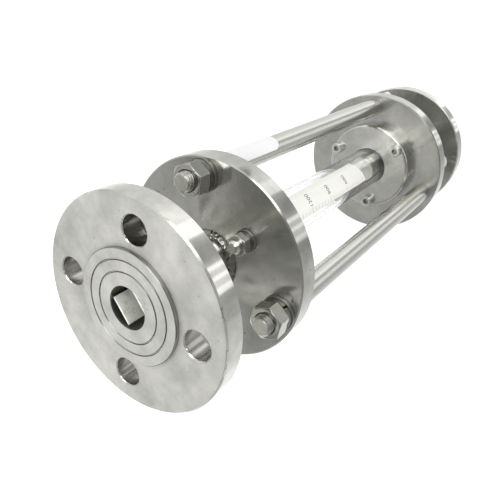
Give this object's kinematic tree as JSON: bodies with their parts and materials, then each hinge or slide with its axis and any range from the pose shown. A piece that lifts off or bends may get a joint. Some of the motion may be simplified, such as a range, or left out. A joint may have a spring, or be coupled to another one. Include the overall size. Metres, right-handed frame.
{
  "type": "flow meter",
  "caption": "Flanged variable-area flow meter: a float rises inside a tapered glass tube held between end plates by tie rods and glands.",
  "frame": {"origin": "centre of the inlet's raised face, on which the meter stands", "axes": "+Z along the flow to the outlet, -Y towards the reading side with the scale, +X to the reader's right"},
  "size_m": [0.109, 0.109, 0.335],
  "materials": {
    "flange_steel": "fine turned satin",
    "plate_steel": "turned satin, slightly darker",
    "gland_steel": "turned satin",
    "pipe_steel": "drawn satin",
    "weld_steel": "rippled weld bead",
    "stop_steel": "brushed strip",
    "rod_steel": "drawn and polished",
    "fastener_steel": "bright stainless",
    "float_steel": "turned bright",
    "tube_glass": "clear polished",
    "scale_enamel": "opal white with a printed scale",
    "sticker_white": "white film",
    "cushion_ptfe": "white",
    "packing_rubber": "black"
  },
  "bodies": {
    "meter": {"glass_tube": "tube_glass", "inlet_cushion": "cushion_ptfe", "inlet_flange": "flange_steel", "inlet_flange_weld": "weld_steel", "inlet_float_stop": "stop_steel", "inlet_gland": "gland_steel", "inlet_gland_nut_1": "fastener_steel", "inlet_gland_nut_2": "fastener_steel", "inlet_gland_nut_3": "fastener_steel", "inlet_gland_screw_1": "fastener_steel", "inlet_gland_screw_2": "fastener_steel", "inlet_gland_screw_3": "fastener_steel", "inlet_gland_washers": "fastener_steel", "inlet_neck": "pipe_steel", "inlet_packing": "packing_rubber", "inlet_plate": "plate_steel", "inlet_plate_weld": "weld_steel", "inlet_rod_nut_1": "fastener_steel", "inlet_rod_nut_2": "fastener_steel", "inlet_rod_nut_3": "fastener_steel", "inlet_rod_washers": "fastener_steel", "outlet_cushion": "cushion_ptfe", "outlet_flange": "flange_steel", "outlet_flange_weld": "weld_steel", "outlet_float_stop": "stop_steel", "outlet_gland": "gland_steel", "outlet_gland_nut_1": "fastener_steel", "outlet_gland_nut_2": "fastener_steel", "outlet_gland_nut_3": "fastener_steel", "outlet_gland_screw_1": "fastener_steel", "outlet_gland_screw_2": "fastener_steel", "outlet_gland_screw_3": "fastener_steel", "outlet_gland_washers": "fastener_steel", "outlet_neck": "pipe_steel", "outlet_packing": "packing_rubber", "outlet_plate": "plate_steel", "outlet_plate_weld": "weld_steel", "outlet_rod_nut_1": "fastener_steel", "outlet_rod_nut_2": "fastener_steel", "outlet_rod_nut_3": "fastener_steel", "outlet_rod_washers": "fastener_steel", "rod_label": "sticker_white", "scale_strip": "scale_enamel", "tie_rod_1": "rod_steel", "tie_rod_2": "rod_steel", "tie_rod_3": "rod_steel"},
    "float": {"float": "float_steel"}
  },
  "joints": [
    {"name": "float_slide", "type": "slide", "parent": "meter", "child": "float", "axis": [0, 0, 1], "range_m": [0, 0.1784]}
  ]
}
